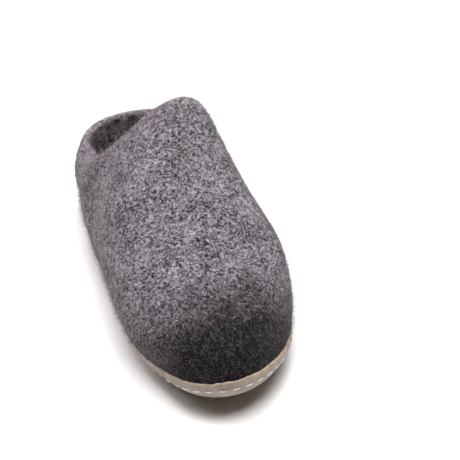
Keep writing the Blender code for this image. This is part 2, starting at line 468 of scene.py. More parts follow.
@dataclass(frozen=True)
class Last:
    """The form that the felt body was shaped on, with the solids' own sizes.

    Attributes:
        length: Length of the felt body.
        ball_width: Width at the ball of the foot.
        instep_height: The height that the crest and widest columns are shares of.
        heel_height: Height of the collar at the heel.
        collar_tilt: How much higher the collar is on the big toe's side.
        toe_spring: Rise of the floor at the toe.
        arch_rise: Rise of the floor under the arch.
        corner: Radius of the corner between side and floor.
        rim_height: Height of the sole's rim over the felt's underside.
        floor: Height of the felt's underside over the ground.
        throat: Share of the length where the collar meets the instep.
        collar_power: How late the collar climbs to the throat.
        lean_power: How late a section leans to the big toe's side.
        spring_start: Share of the length where the toe spring starts.
        arch_span: Shares of the length between which the arch rises.
        heel_outline: Rounding of the outline at the heel, as length share and squareness.
        toe_outline: Rounding of the outline at the toe.
        heel_crest: Rounding of the crest at the heel.
        toe_crest: Rounding of the crest at the toe.
        squareness: Squareness of the corner below.
    """

    length: float
    ball_width: float
    instep_height: float = 0.1295
    heel_height: float = 0.057
    collar_tilt: float = -0.0015
    toe_spring: float = 0.0115
    arch_rise: float = 0.002
    corner: float = 0.0205
    rim_height: float = 0.0125
    floor: float = 0.0025
    throat: float = 0.434
    collar_power: float = 4.2
    lean_power: float = 1.8
    spring_start: float = 0.64
    arch_span: Pair = (0.26, 0.50)
    heel_outline: Pair = (0.135, 2.1)
    toe_outline: Pair = (0.28, 2.0)
    heel_crest: Pair = (0.02, 2.0)
    toe_crest: Pair = (0.265, 2.0)
    squareness: float = 2.0

    def read(self, column: str, share: np.ndarray) -> np.ndarray:
        """Read a column of SECTIONS on a smooth curve that never overshoots.

        Args:
            column: The column's name.
            share: Shares of the length from the heel.

        Returns:
            The column's value at each share.
        """
        shares, values = np.array(SECTIONS["share"]), np.array(SECTIONS[column])
        step = np.diff(shares)
        slope = np.diff(values) / step
        tangent = np.zeros(len(shares))
        for i in range(1, len(shares) - 1):
            if slope[i - 1] * slope[i] > 0:
                before = 2 * step[i] + step[i - 1]
                after = step[i] + 2 * step[i - 1]
                tangent[i] = (before + after) / (before / slope[i - 1] + after / slope[i])
        share = np.clip(share, 0, 1)
        k = np.clip(np.searchsorted(shares, share) - 1, 0, len(step) - 1)
        t = (share - shares[k]) / step[k]
        level = values[k] * (1 + 2 * t) * (1 - t) ** 2 + values[k + 1] * t**2 * (3 - 2 * t)
        bend = tangent[k] * t * (1 - t) ** 2 + tangent[k + 1] * t**2 * (t - 1)
        return level + step[k] * bend

    @staticmethod
    def rounding(share: np.ndarray, heel: Pair, toe: Pair) -> np.ndarray:
        """Fall from 1 to 0 at both ends.

        Args:
            share: Shares of the length.
            heel: Length share and squareness of the fall at the heel.
            toe: The same at the toe.

        Returns:
            The factor at each share.
        """
        from_heel = np.clip(1 - share / heel[0], 0, 1)
        from_toe = np.clip(1 - (1 - share) / toe[0], 0, 1)
        at_heel = (1 - from_heel ** heel[1]) ** (1 / heel[1])
        return at_heel * (1 - from_toe ** toe[1]) ** (1 / toe[1])

    def spring(self, share: np.ndarray) -> np.ndarray:
        """Height that the toe spring adds at a share of the length."""
        return self.toe_spring * np.clip((share - self.spring_start) / (1 - self.spring_start), 0, None) ** 2

    def floor_height(self, share: np.ndarray) -> np.ndarray:
        """Height of the felt's underside, before its ends round up.

        Args:
            share: Shares of the length.

        Returns:
            The height at each.
        """
        start, end = self.arch_span
        along_arch = np.clip((share - start) / (end - start), 0, 1)
        return self.floor + self.arch_rise * np.sin(math.pi * along_arch) ** 2 + self.spring(share)

    def widest_height(self, share: np.ndarray) -> np.ndarray:
        """Height of the widest line."""
        return self.instep_height * self.read("widest", share) + self.spring(share)

    def crest_height(self, share: np.ndarray) -> np.ndarray:
        """Height of the crest line.

        Args:
            share: Shares of the length.

        Returns:
            The height at each.
        """
        full = self.instep_height * self.read("crest", share) + self.spring(share)
        widest = self.widest_height(share)
        return widest + (full - widest) * self.rounding(share, self.heel_crest, self.toe_crest)

    def inset_at(self, share: np.ndarray, drop: np.ndarray) -> np.ndarray:
        """How far a section draws in, at a portion of the way down to the floor."""
        radius = self.corner * self.read("tuck", share)
        return radius * (1 - np.sqrt(1 - drop**self.squareness))

    def section_at(self, share: np.ndarray, height: np.ndarray) -> tuple[np.ndarray, np.ndarray]:
        """Middle and half width of the last.

        Args:
            share: Shares of the length.
            height: Heights over the ground.

        Returns:
            The middle and the half width at each.
        """
        half_ball = self.ball_width / 2
        wide = half_ball * self.read("half_width", share)
        widest = self.widest_height(share)
        rise = np.clip((height - widest) / np.maximum(self.crest_height(share) - widest, 1e-6), 0, 1)
        drop = np.clip((widest - height) / (widest - self.floor_height(share)), 0, 1)
        crown = (1 - rise ** self.read("fullness", share)) ** (1 / self.read("crown", share))
        above = wide * self.rounding(share, self.heel_outline, self.toe_outline) * crown
        inset = self.inset_at(share, drop)
        inner_share = (share * self.length - inset) / (self.length - 2 * inset)
        below = (wide - inset) * self.rounding(inner_share, self.heel_outline, self.toe_outline)
        middle = half_ball * (self.read("centre", share) + self.read("ridge", share) * rise**self.lean_power)
        return middle, np.where(height >= widest, above, below)

    def profile(self, toe: bool, points: int = 3000) -> tuple[np.ndarray, np.ndarray]:
        """Trace the line down the middle of one end, from the collar to the floor.

        Args:
            toe: True for the toe's end, False for the heel's.
            points: How many points each half of it has.

        Returns:
            Shares and heights.
        """
        eased = np.sin(np.linspace(0, math.pi / 2, points))
        end = 1.0 if toe else 0.0
        over = self.throat + (1 - self.throat) * eased if toe else self.heel_crest[0] * (1 - eased)
        under = np.full(points, end)
        for _ in range(8):
            under = np.abs(end - self.inset_at(under, eased) / self.length)
        widest = self.widest_height(under)
        side = widest - eased * (widest - self.floor_height(under))
        heights = np.concatenate([self.crest_height(over), side])
        shares = np.concatenate([over, under])
        start = 0 if toe else int(np.argmax(heights <= self.heel_height))
        return shares[start:], heights[start:]

    def ring(self, back: Pair, front: Pair, portion: float, around: int) -> np.ndarray:
        """Points of one ring.

        Args:
            back: Share and height at the heel.
            front: Share and height at the toe.
            portion: 0 at the scooped collar, 1 where the ring keeps one height over the floor.
            around: How many points it has.

        Returns:
            The points, from the heel round by the big toe's side.
        """
        angle = np.linspace(0, 2 * math.pi, around, endpoint=False)
        forward = (1 - np.cos(angle)) / 2
        share = back[0] + (front[0] - back[0]) * forward
        scooped = back[1] + (front[1] - back[1]) * forward**self.collar_power
        scooped += self.collar_tilt * np.sin(angle) * np.sin(math.pi * forward)
        ends = self.floor_height(np.array([back[0], front[0]]))
        sag = self.floor_height(share) - ends[0] - (ends[1] - ends[0]) * forward
        level = back[1] + (front[1] - back[1]) * forward + sag
        height = scooped * (1 - portion) + level * portion
        middle, half = self.section_at(share, height)
        side = np.sign(np.round(np.sin(angle), 9))
        return np.stack([middle + side * half, self.length * (0.5 - share), height], axis=1)

    def rings(self, above: int, below: int, around: int) -> np.ndarray:
        """All rings from the collar down to the floor.

        Args:
            above: Steps between the collar and the sole's rim.
            below: Steps between the rim and the floor.
            around: Points in each ring.

        Returns:
            The grid of points, in the last's own place.
        """
        profiles = [self.profile(toe=False), self.profile(toe=True)]
        lifts = [heights - self.floor_height(shares) for shares, heights in profiles]
        grid = []
        for i in range(above + 1):
            ends = []
            for (shares, heights), lift in zip(profiles, lifts):
                last = int(np.argmax(lift <= self.rim_height + 1e-7))
                run = np.hypot(np.diff(shares[: last + 1]) * self.length, np.diff(heights[: last + 1]))
                distance = np.concatenate([[0], np.cumsum(run)])
                at = i / above * distance[-1]
                share = np.interp(at, distance, shares[: last + 1])
                ends.append((share, np.interp(at, distance, heights[: last + 1])))
            grid.append(self.ring(*ends, i / above, around))
        for i in range(1, below + 1):
            wanted = self.rim_height * (1 - math.sin(math.pi / 2 * i / below))
            ends = []
            for (shares, heights), lift in zip(profiles, lifts):
                at = int(np.argmax(lift <= wanted + 1e-7))
                ends.append((shares[at], heights[at]))
            grid.append(self.ring(*ends, 1.0, around))
        return np.array(grid)


@dataclass(frozen=True)
class Wool:
    """Finish of felt: dark and pale fibres matted together, with painted shade at the tip of the toe and
    painted light along the collar and high on the inside.

    Attributes:
        name: The material's name.
        dark: Colour of the dark fibres.
        pale: Colour of the pale fibres.
        painted_backlight: Painted light: the paler colour of the thin fuzz along the collar, standing in for
            light that comes through it.
        fleck: Colour of the rare dyed fibres.
        painted_toe_shade: Painted shade: the dark colour that the wool goes toward at the tip of the toe,
            where the light falls off.
        glow: Colour of the soft light at grazing angles.
        balance: Tone at which dark and pale are mixed evenly.
        contrast: How far the tones are apart.
        paleness: Share of pale wool at the even tone.
        kinship: How much a separate fibre follows the tone around it.
        single: Own tones between which a separate fibre turns from dark to pale.
        own_share: How much of a separate fibre's colour is its own.
        dyed: Own tones above which a separate fibre is a dyed one.
        toe_shade_reach: Places along Y between which the painted shade of the toe comes in.
        toe_shade_cells: Cells in a metre of the noise that moves that border.
        toe_shade_wander: How far it moves the border.
        toe_shade_spared: How much less the pale wool takes that painted shade.
        painted_inside_light: Painted light: how much paler the inside is near the collar, fading downward as
            the light reaching in falls off.
        painted_backlight_share: How much of that painted backlight the rim takes.
        sheen: Weight of the soft light at grazing angles.
        relief: Height of the matted surface in the bump.
    """

    name: str
    dark: Colour = (0.014, 0.012, 0.015)
    pale: Colour = (0.56, 0.51, 0.56)
    painted_backlight: Colour = (0.62, 0.50, 0.54)
    fleck: Colour = (0.46, 0.19, 0.11)
    painted_toe_shade: Colour = (0.004, 0.0035, 0.0045)
    glow: Colour = (1.0, 0.93, 0.96)
    balance: float = 0.5
    contrast: float = 5.0
    paleness: float = 0.40
    kinship: float = 0.24
    single: Pair = (0.40, 0.80)
    own_share: float = 0.85
    dyed: Pair = (0.9978, 0.9984)
    toe_shade_reach: Pair = (-0.050, -0.108)
    toe_shade_cells: float = 45.0
    toe_shade_wander: float = 0.03
    toe_shade_spared: float = 0.20
    painted_inside_light: float = 0.24
    painted_backlight_share: float = 0.08
    sheen: float = 0.09
    relief: float = 0.35 * MM

    def fibre_mask(self, graph: Graph, mask: Socket, spread: Socket, own: Socket) -> Socket:
        """Find how pale a separate fibre is.

        Args:
            graph: The material's Graph.
            mask: How pale the wool around it is.
            spread: How far the tone around it is from even.
            own: The fibre's own tone.

        Returns:
            The mask, 0 for dark and 1 for pale.
        """
        nudged = graph.math("ADD", own, graph.math("MULTIPLY", spread, self.kinship))
        single = graph.step(nudged, *self.single)
        around = graph.math("MULTIPLY", mask, 1 - self.own_share)
        return graph.math("ADD", around, graph.math("MULTIPLY", single, self.own_share))

    def painted_toe_shade_mask(self, graph: Graph, place: Socket, mask: Socket) -> Socket:
        """Find how much painted shade the wool takes toward the tip of the toe.

        Args:
            graph: The material's Graph.
            place: Object coordinates.
            mask: How pale the wool is.

        Returns:
            The mask of the painted shade.
        """
        along = graph.add("ShaderNodeSeparateXYZ", {0: place}).outputs["Y"]
        wander = graph.math("MULTIPLY", graph.noise(place, self.toe_shade_cells), self.toe_shade_wander)
        tip = graph.step(graph.math("ADD", along, wander), *self.toe_shade_reach)
        spared = graph.math("SUBTRACT", 1.0, graph.math("MULTIPLY", mask, self.toe_shade_spared))
        return graph.math("MULTIPLY", tip, spared)

    def material(self, groups: "Effects", loose: bool = False) -> bpy.types.Material:
        """Make the material.

        Args:
            groups: The shared shader groups.
            loose: True for separate fibres, whose own tone is in their attribute.

        Returns:
            The material.
        """
        graph = start_material(self.name)
        place = graph.add("ShaderNodeTexCoord").outputs["Object"]
        melange = graph.add("ShaderNodeGroup", {"Position": place}, node_tree=groups.melange)
        even = graph.math("SUBTRACT", melange.outputs["Tone"], self.balance)
        spread = graph.math("MULTIPLY", even, self.contrast)
        mask = graph.math("ADD", spread, self.paleness, clamp=True)
        if loose:
            own = graph.attribute("tone")
            mask = self.fibre_mask(graph, mask, spread, own)
        colour = graph.mix(mask, self.dark, self.pale)
        # painted light: the inside is paler near the collar and darker further down, as the light reaching in
        # falls off
        colour = graph.mix(graph.math("MULTIPLY", graph.attribute("inner"), self.painted_inside_light), colour, self.pale)
        # painted shade: the wool is darkened toward the tip of the toe, where the light falls off
        colour = graph.mix(self.painted_toe_shade_mask(graph, place, mask), colour, self.painted_toe_shade)
        # painted light: the rim along the collar takes a paler colour, standing in for light coming through
        # its fuzz
        colour = graph.mix(graph.math("MULTIPLY", graph.attribute("rim"), self.painted_backlight_share), colour, self.painted_backlight)
        if loose:
            colour = graph.mix(graph.step(own, *self.dyed), colour, self.fleck)
        settings = {
            "Roughness": 0.95,
            "Specular IOR Level": 0.08,
            "Sheen Weight": self.sheen,
            "Sheen Roughness": 0.5,
            "Sheen Tint": (*self.glow, 1.0),
        }
        bump = {"Height": melange.outputs["Height"], "Distance": self.relief, "Strength": 0.9}
        graph.surface(colour, settings, None if loose else bump)
        return bpy.data.materials[self.name]


@dataclass(frozen=True)
class Suede:
    """Finish of the sole's leather: a matte nap, worn along its edges.

    Attributes:
        name: The material's name.
        face: Colour of the nap.
        stain: Colour of its darker patches.
        raw: Colour of the raw cut edge.
        soiling: How dark the lower part gets.
        fraying: How uneven the border of the raw edge is.
        cut: Values between which the raw edge shows.
        relief: Height of the nap in the bump.
    """

    name: str
    face: Colour = (0.375, 0.32, 0.27)
    stain: Colour = (0.28, 0.235, 0.195)
    raw: Colour = (0.47, 0.35, 0.24)
    soiling: float = 0.6
    fraying: float = 0.9
    cut: Pair = (0.45, 0.7)
    relief: float = 0.25 * MM

    def material(self, groups: "Effects") -> bpy.types.Material:
        """Make the material.

        Args:
            groups: The shared shader groups.

        Returns:
            The material.
        """
        graph = start_material(self.name)
        place = graph.add("ShaderNodeTexCoord").outputs["Object"]
        grain = graph.add("ShaderNodeGroup", {"Position": place}, node_tree=groups.nap)
        colour = graph.mix(grain.outputs["Mottle"], self.face, self.stain)
        colour = graph.mix(graph.math("MULTIPLY", graph.attribute("soil"), self.soiling), colour, self.stain)
        uneven = graph.math("MULTIPLY", graph.math("SUBTRACT", grain.outputs["Height"], 0.5), self.fraying)
        ragged = graph.math("ADD", graph.attribute("edge"), uneven)
        colour = graph.mix(graph.step(ragged, *self.cut), colour, self.raw)
        settings = {
            "Roughness": 0.88,
            "Specular IOR Level": 0.25,
            "Sheen Weight": 0.12,
            "Sheen Roughness": 0.6,
        }
        bump = {"Height": grain.outputs["Height"], "Distance": self.relief, "Strength": 0.8}
        graph.surface(colour, settings, bump)
        return bpy.data.materials[self.name]


@dataclass(frozen=True)
class Thread:
    """Finish of the sewing thread: waxed off-white cotton, a little soiled.

    Attributes:
        name: The material's name.
        clean: Colour of the clean thread.
        soiled: Colour of its soiled patches.
        relief: Height of its twist's grain in the bump.
    """

    name: str
    clean: Colour = (0.66, 0.63, 0.61)
    soiled: Colour = (0.46, 0.42, 0.39)
    relief: float = 0.06 * MM

    def material(self, groups: "Effects") -> bpy.types.Material:
        """Make the material.

        Args:
            groups: The shared shader groups.

        Returns:
            The material.
        """
        graph = start_material(self.name)
        place = graph.add("ShaderNodeTexCoord").outputs["Object"]
        grain = graph.add("ShaderNodeGroup", {"Position": place}, node_tree=groups.nap)
        colour = graph.mix(grain.outputs["Mottle"], self.clean, self.soiled)
        bump = {"Height": grain.outputs["Height"], "Distance": self.relief, "Strength": 0.6}
        graph.surface(colour, {"Roughness": 0.6}, bump)
        return bpy.data.materials[self.name]


class Effects:
    """The shader groups that several finishes share.

    Attributes:
        melange: Tones and relief of matted fibres.
        nap: Mottling and relief of brushed leather and thread.
    """

    # Headings of the fibre layers, as turns about X, Y and Z in degrees
    HEADINGS: tuple[Triple, ...] = (
        (0, 0, 78), (0, 0, 25), (0, 0, -38), (25, -40, 5), (10, 62, 35), (-15, -65, 110),
    )
    # Distance between the places that two layers read, so that no two are alike
    LAYER_STEP: Triple = (17.3, 5.1, 9.7)
    STREAK_LENGTH = 4.2 * MM
    STREAK_WIDTH = 0.75 * MM
    SWAY = 6 * MM

    # Cells in a metre of the slow sway, the broad patches and the fine tufts
    SWAY_CELLS = 110.0
    PATCH_CELLS = 60.0
    TUFT_CELLS = 420.0

    # How much the patches, the tufts and the strongest streak move the tone
    PATCH_SHARE = 0.14
    TUFT_SHARE = 0.30
    STREAK_SHARE = 0.35
    STREAK_LEVEL = 0.68

    # Cells in a metre of the leather's stains and of its nap
    STAIN_CELLS = 95.0
    NAP_CELLS = 1500.0

    def __init__(self) -> None:
        """Build both groups."""
        self.melange = self.build_melange()
        self.nap = self.build_nap()

    def streaks(self, graph: Graph, curved: Socket, number: int) -> Socket:
        """Make one layer of streaks that all run in one heading.

        Args:
            graph: The group's Graph.
            curved: The swayed place.
            number: Which of the headings it has.

        Returns:
            The layer.
        """
        turn = tuple(math.radians(angle) for angle in self.HEADINGS[number])
        inputs = {"Vector": curved, "Rotation": turn}
        turned = graph.add("ShaderNodeVectorRotate", inputs, rotation_type="EULER_XYZ").outputs[0]
        narrow = 1 / self.STREAK_WIDTH
        stretched = graph.vector("MULTIPLY", turned, (1 / self.STREAK_LENGTH, narrow, narrow))
        shifted = graph.vector("ADD", stretched, tuple(step * number for step in self.LAYER_STEP))
        return graph.noise(shifted, 1.0, 2.0, 0.6)

    def build_melange(self) -> bpy.types.NodeTree:
        """Layers of streaks in several headings, curved, with broad patches.

        Returns:
            The group, which puts out Tone and Height.
        """
        outputs = [("Tone", "Float"), ("Height", "Float")]
        graph, start, end = start_group("matted_fibres", "ShaderNodeTree", [("Position", "Vector")], outputs)
        place = start.outputs["Position"]
        inputs = {"Vector": place, "Scale": self.SWAY_CELLS, "Detail": 1.0}
        sway = graph.add("ShaderNodeTexNoise", inputs).outputs["Color"]
        sway = graph.vector("MULTIPLY", graph.vector("SUBTRACT", sway, (0.5, 0.5, 0.5)), (self.SWAY,) * 3)
        curved = graph.vector("ADD", place, sway)
        total = strongest = self.streaks(graph, curved, 0)
        for number in range(1, len(self.HEADINGS)):
            layer = self.streaks(graph, curved, number)
            total = graph.math("ADD", total, layer)
            strongest = graph.math("MAXIMUM", strongest, layer)
        tone = graph.math("DIVIDE", total, float(len(self.HEADINGS)))
        patches = graph.noise(place, self.PATCH_CELLS, 2.0, 0.55)
        tufts = graph.noise(curved, self.TUFT_CELLS, 2.0, 0.6)
        parts = (
            (patches, 0.5, self.PATCH_SHARE),
            (tufts, 0.5, self.TUFT_SHARE),
            (strongest, self.STREAK_LEVEL, self.STREAK_SHARE),
        )
        for part, level, share in parts:
            tone = graph.math("ADD", tone, graph.math("MULTIPLY", graph.math("SUBTRACT", part, level), share))
        graph.feed(end.inputs["Tone"], tone)
        height = graph.math("ADD", strongest, graph.math("MULTIPLY", tufts, 0.8))
        graph.feed(end.inputs["Height"], height)
        return graph.tree

    def build_nap(self) -> bpy.types.NodeTree:
        """Fine brushed grain with soft patches.

        Returns:
            The group, which puts out Mottle and Height.
        """
        outputs = [("Mottle", "Float"), ("Height", "Float")]
        graph, start, end = start_group("brushed_nap", "ShaderNodeTree", [("Position", "Vector")], outputs)
        place = start.outputs["Position"]
        patches = graph.noise(place, self.STAIN_CELLS, 3.0, 0.6)
        fine = graph.noise(place, self.NAP_CELLS, 3.0, 0.65)
        mottle = graph.math("ADD", graph.step(patches, 0.42, 0.72), graph.math("MULTIPLY", fine, 0.35))
        graph.feed(end.inputs["Mottle"], graph.math("SUBTRACT", mottle, 0.15, clamp=True))
        parts = graph.math("MULTIPLY", fine, 0.7), graph.math("MULTIPLY", patches, 0.3)
        graph.feed(end.inputs["Height"], graph.math("ADD", *parts))
        return graph.tree


@dataclass(frozen=True)
class Crease:
    """One soft trough or ridge that was put in one by one.

    Attributes:
        share: Where it is along the length, from the heel.
        across: Where it is across, as a share of half the ball width.
        long: Half its length.
        wide: Half its width.
        turn: Its heading in degrees; 0 runs straight across.
        height: How high it stands; below 0 it is a trough.
    """

    share: float
    across: float
    long: float
    wide: float
    turn: float
    height: float


@dataclass
class FeltBody:
    """The seamless felt body, modelled with its wall, lip and relief.

    Attributes:
        last: The form it was shaped on.
        wall: Thickness of the felt.
        middle: Where the last's own centre stands in the frame.
        creases: Troughs and ridges.
        around: Points in each ring.
        above: Steps from the collar to the rim.
        below: Steps from the rim to the floor.
        across: Faces across the floor.
        lip_steps: Steps round the collar's lip.
        lip_height: How high the lip is rounded.
        lip_sunk: How far the lip's root lies under the collar's line.
        lip_rows: Rows over which that fades.
        backlight_rows: Rows from the collar over which the rim's painted backlight fades.
        inside_light_rows: Rows of the inside, from the collar, over which its painted light fades.
        fold_height: Height of the inside's soft upright folds.
        fold_width: Their width.
        fold_stretch: How much of a fold's change runs up and down.
        crown_reach: Height over the widest line at which creases have their full depth.
        free_reach: Height over the sole's rim at which lumps have their full depth.
        lump_height: Height of the broad lumps.
        lump_width: Their width.
        dimple_share: Height of the small dimples, as a share of the lumps'.
        dimple_width: Their width.
        grown_rows: Rows of the inside that fibres grow on.
        grown_span: Growth in the first and the last of these.
        rim_span: Rows under the collar, outside and inside, that carry the rim's fibres.
    """

    last: Last
    wall: float
    middle: Triple
    creases: tuple[Crease, ...]
    around: int = 320
    above: int = 90
    below: int = 12
    across: int = 24
    lip_steps: int = 8
    lip_height: float = 2.2 * MM
    lip_sunk: float = 0.6 * MM
    lip_rows: int = 12
    backlight_rows: int = 2
    inside_light_rows: int = 34
    fold_height: float = 0.9 * MM
    fold_width: float = 4.2 * MM
    fold_stretch: float = 0.22
    crown_reach: float = 12 * MM
    free_reach: float = 8 * MM
    lump_height: float = 0.20 * MM
    lump_width: float = 15 * MM
    dimple_share: float = 0.4
    dimple_width: float = 5.5 * MM
    grown_rows: int = 26
    grown_span: Pair = (0.9, 0.3)
    rim_span: tuple[int, int] = (6, 3)

    def outside(self) -> np.ndarray:
        """Lay the smooth outer surface, with its edge drawn down for the lip.

        Returns:
            The grid of points, collar first.
        """
        grid = self.last.rings(self.above, self.below, self.around)
        drop = grid[1] - grid[0]
        drop /= np.linalg.norm(drop, axis=-1, keepdims=True)
        for row in range(self.lip_rows):
            grid[row] += drop * self.lip_sunk * (1 - row / self.lip_rows)
        return grid

    def relief(self, grid: np.ndarray) -> np.ndarray:
        """Height of the relief over the smooth last.

        Args:
            grid: The smooth surface.

        Returns:
            One height for each point.
        """
        share = 0.5 - grid[..., 1] / self.last.length
        half_ball = self.last.ball_width / 2
        on_top = np.clip((grid[..., 2] - self.last.widest_height(share)) / self.crown_reach, 0, 1)
        total = np.zeros(grid.shape[:-1])
        for crease in self.creases:
            side = grid[..., 0] - crease.across * half_ball
            ahead = (share - crease.share) * self.last.length
            turn = math.radians(crease.turn)
            along = side * math.cos(turn) + ahead * math.sin(turn)
            over = ahead * math.cos(turn) - side * math.sin(turn)
            fall = np.exp(-((along / crease.long) ** 2) - (over / crease.wide) ** 2)
            total += crease.height * fall * on_top
        over_rim = grid[..., 2] - self.last.floor_height(share) - self.last.rim_height
        free = np.clip(over_rim / self.free_reach, 0, 1)
        dimples = self.dimple_share * self.lump_height * lumps(grid, self.dimple_width, seed=9, waves=40)
        return total + self.lump_height * lumps(grid, self.lump_width, seed=4) * free + dimples * free

    def inside(self, smooth: np.ndarray, normal: np.ndarray) -> np.ndarray:
        """Lay the inner surface, with its upright folds.

        Args:
            smooth: The smooth outer surface.
            normal: Its outward normals.

        Returns:
            The grid of points, collar first.
        """
        folds = lumps(smooth * [1, 1, self.fold_stretch], self.fold_width, seed=15, waves=36)
        folds *= self.fold_height * np.clip(np.arange(len(smooth)) / 4, 0, 1)[:, None]
        return smooth - normal * (self.wall - folds)[..., None]

    def lip(self, outer: np.ndarray, inner: np.ndarray) -> np.ndarray:
        """Round the collar's edge over.

        Args:
            outer: The outer surface.
            inner: The inner surface.

        Returns:
            The lip's rows, from the outside to the inside.
        """
        up = outer[0] - outer[1]
        up /= np.linalg.norm(up, axis=-1, keepdims=True)
        centre, reach = (outer[0] + inner[0]) / 2, (outer[0] - inner[0]) / 2
        angles = np.linspace(0, math.pi, self.lip_steps + 1)[1:-1]
        return np.array([centre + reach * math.cos(a) + up * self.lip_height * math.sin(a) for a in angles])

    @staticmethod
    def fading(grid: np.ndarray, rows: int) -> np.ndarray:
        """A mark that falls from 1 at a grid's first row to 0 after some rows."""
        return np.clip(1 - np.arange(len(grid)) / rows, 0, 1)[:, None] * np.ones(grid.shape[:-1])

    def build(self, finish: bpy.types.Material) -> tuple[bpy.types.Object, bpy.types.Object]:
        """Make the body, and the skin that its fibres grow on.

        Args:
            finish: The felt's material.

        Returns:
            The body and the skin.
        """
        smooth = self.outside()
        normal = grid_normals(smooth)
        shift = np.array(self.middle)
        outer = smooth + normal * self.relief(smooth)[..., None]
        inner = self.inside(smooth, normal)
        lip = self.lip(outer, inner) + shift
        outer += shift
        inner += shift
        # marks for painted light: the rim's backlight along the collar, and the inside's light that fades
        # from the collar down
        edge, depth = self.fading(outer, self.backlight_rows), self.fading(inner, self.inside_light_rows)
        maker = MeshMaker()
        outside = maker.put(outer, rim=edge, inner=0.0)
        lip_numbers = maker.put(lip, rim=1.0, inner=0.0)
        inside = maker.put(inner, rim=edge, inner=depth)
        maker.skin(np.concatenate([outside[::-1], lip_numbers, inside]))
        maker.floor(outside[-1], outer[-1], self.across, turned=False, rim=0.0, inner=0.0)
        maker.floor(inside[-1], inner[-1], self.across, turned=True, rim=0.0, inner=0.0)
        body = maker.make("felt_body")
        body.data.materials.append(finish)
        return body, self.fibre_skin(outer, lip, inner, depth)

    def fibre_skin(
        self, outer: np.ndarray, lip: np.ndarray, inner: np.ndarray, depth: np.ndarray
    ) -> bpy.types.Object:
        """Make the skin that fibres grow on, with marks for how densely.

        Args:
            outer: The outer surface.
            lip: The lip's rows.
            inner: The inner surface.
            depth: The inside's painted light, fading from the collar down.

        Returns:
            The skin, which isn't kept.
        """
        deep, top = self.grown_rows, self.above + 1
        rows = np.concatenate([outer[:top][::-1], lip, inner[:deep]])
        growth, inside, rim = np.ones(rows.shape[:-1]), np.zeros(rows.shape[:-1]), np.zeros(rows.shape[:-1])
        growth[-deep:] = np.linspace(*self.grown_span, deep)[:, None]
        # the fibres inside carry the same painted light
        inside[-deep:] = depth[:deep]
        # the rim mark sets where the rim's fibres grow, and the painted backlight that the fibres' colour
        # takes there
        rim[top - self.rim_span[0] : top + len(lip) + self.rim_span[1]] = 1.0
        skin = MeshMaker()
        skin.skin(skin.put(rows, growth=growth, rim=rim, inner=inside))
        return skin.make("fibre_skin")


class Coat(Enum):
    """The kinds of fibre that cover the felt."""

    MATTED = "matted"
    LOOSE = "loose"
    RIM = "rim"


